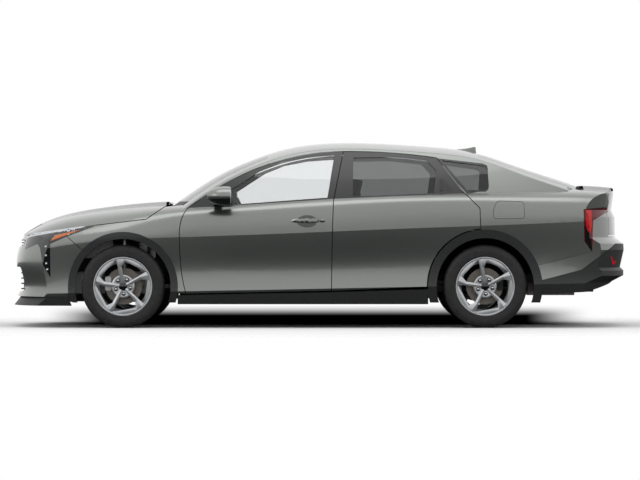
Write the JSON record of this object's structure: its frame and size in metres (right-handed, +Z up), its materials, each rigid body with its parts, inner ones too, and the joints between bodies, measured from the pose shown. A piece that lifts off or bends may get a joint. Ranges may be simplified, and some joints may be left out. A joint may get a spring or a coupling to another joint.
{
  "type": "four-door sedan",
  "caption": "Four-door sedan with hinged doors, hood and trunk lid, steered front wheels and a hollow glazed cabin; it rolls on its wheels.",
  "frame": {"origin": "on the ground under the middle of the car's length and width", "axes": "+X to the rear, +Y to the car's right, +Z up"},
  "size_m": [4.7172, 2.1464, 1.4139],
  "materials": {
    "paint": "metallic gloss paint",
    "cladding": "grained black plastic",
    "glass": "tinted glass",
    "lamp": "clear lens",
    "tail": "red lens",
    "tyre": "rubber",
    "alloy": "silver alloy",
    "steel": "bare steel",
    "iron": "cast",
    "trim": "moulded trim",
    "cloth": "seat cloth",
    "panel": "dark primer"
  },
  "bodies": {
    "body": {"body_side_left": "paint", "body_side_right": "paint", "bumper_front": "paint", "bumper_rear": "paint", "cladding": "cladding", "cowl": "cladding", "dashboard": "trim", "engine": "iron", "exhaust": "steel", "fender_left": "paint", "fender_right": "paint", "firewall": "panel", "floor_pan": "panel", "front_frame": "panel", "front_lip": "cladding", "front_subframe": "iron", "grille": "cladding", "headlamps": "lamp", "parcel_shelf": "trim", "quarter_glass": "glass", "radiator": "alloy", "rear_axle": "iron", "rear_window": "glass", "roof_panel": "paint", "seats": "cloth", "side_frame_left": "panel", "side_frame_right": "panel", "tail_lamps": "tail", "trunk_tub": "panel", "wheel_liners": "cladding", "windshield": "glass"},
    "front_door_left": {"door_front_left": "paint", "glass_front_left": "glass", "mirror_left": "paint"},
    "rear_door_left": {"door_rear_left": "paint", "glass_rear_left": "glass"},
    "steering_knuckle_left": {"knuckle_left": "iron"},
    "wheel_front_left": {"rim_front_left": "alloy", "tyre_front_left": "tyre", "disc_front_left": "steel"},
    "wheel_rear_left": {"rim_rear_left": "alloy", "tyre_rear_left": "tyre", "disc_rear_left": "steel"},
    "front_door_right": {"door_front_right": "paint", "glass_front_right": "glass", "mirror_right": "paint"},
    "rear_door_right": {"door_rear_right": "paint", "glass_rear_right": "glass"},
    "steering_knuckle_right": {"knuckle_right": "iron"},
    "wheel_front_right": {"rim_front_right": "alloy", "tyre_front_right": "tyre", "disc_front_right": "steel"},
    "wheel_rear_right": {"rim_rear_right": "alloy", "tyre_rear_right": "tyre", "disc_rear_right": "steel"},
    "hood": {"hood": "paint"},
    "trunk_lid": {"trunk_lid": "paint"},
    "steering_wheel": {"steering_wheel": "trim"}
  },
  "joints": [
    {"name": "front_door_hinge_left", "type": "hinge", "parent": "body", "child": "front_door_left", "pos_m": [-0.944, -0.88, 0.6], "axis": [0, 0, -1], "range_deg": [0, 68]},
    {"name": "rear_door_hinge_left", "type": "hinge", "parent": "body", "child": "rear_door_left", "pos_m": [0.191, -0.9, 0.7], "axis": [0, 0, -1], "range_deg": [0, 70]},
    {"name": "steer_left", "type": "hinge", "parent": "body", "child": "steering_knuckle_left", "pos_m": [-1.48, -0.655, 0.312], "axis": [0, 0, 1], "range_deg": [-35, 35]},
    {"name": "front_wheel_left", "type": "hinge", "parent": "steering_knuckle_left", "child": "wheel_front_left", "pos_m": [-1.48, -0.795, 0.312], "axis": [0, 1, 0], "continuous": true},
    {"name": "rear_wheel_left", "type": "hinge", "parent": "body", "child": "wheel_rear_left", "pos_m": [1.24, -0.795, 0.312], "axis": [0, 1, 0], "continuous": true},
    {"name": "front_door_hinge_right", "type": "hinge", "parent": "body", "child": "front_door_right", "pos_m": [-0.944, 0.88, 0.6], "axis": [0, 0, 1], "range_deg": [0, 68]},
    {"name": "rear_door_hinge_right", "type": "hinge", "parent": "body", "child": "rear_door_right", "pos_m": [0.191, 0.9, 0.7], "axis": [0, 0, 1], "range_deg": [0, 70]},
    {"name": "steer_right", "type": "hinge", "parent": "body", "child": "steering_knuckle_right", "pos_m": [-1.48, 0.655, 0.312], "axis": [0, 0, 1], "range_deg": [-35, 35]},
    {"name": "front_wheel_right", "type": "hinge", "parent": "steering_knuckle_right", "child": "wheel_front_right", "pos_m": [-1.48, 0.795, 0.312], "axis": [0, 1, 0], "continuous": true},
    {"name": "rear_wheel_right", "type": "hinge", "parent": "body", "child": "wheel_rear_right", "pos_m": [1.24, 0.795, 0.312], "axis": [0, 1, 0], "continuous": true},
    {"name": "hood_hinge", "type": "hinge", "parent": "body", "child": "hood", "pos_m": [-1.06, 0, 0.89], "axis": [0, 1, 0], "range_deg": [0, 52]},
    {"name": "trunk_hinge", "type": "hinge", "parent": "body", "child": "trunk_lid", "pos_m": [1.87, 0, 1.03], "axis": [0, -1, 0], "range_deg": [0, 80]},
    {"name": "steering_column", "type": "hinge", "parent": "body", "child": "steering_wheel", "pos_m": [-0.56, -0.375, 0.8], "axis": [0.9136, 0, 0.4067], "range_deg": [-490, 490]}
  ],
  "couplings": [
    {"joint": "steer_right", "follows": "steer_left", "ratio": 1},
    {"joint": "steering_column", "follows": "steer_left", "ratio": 14}
  ]
}
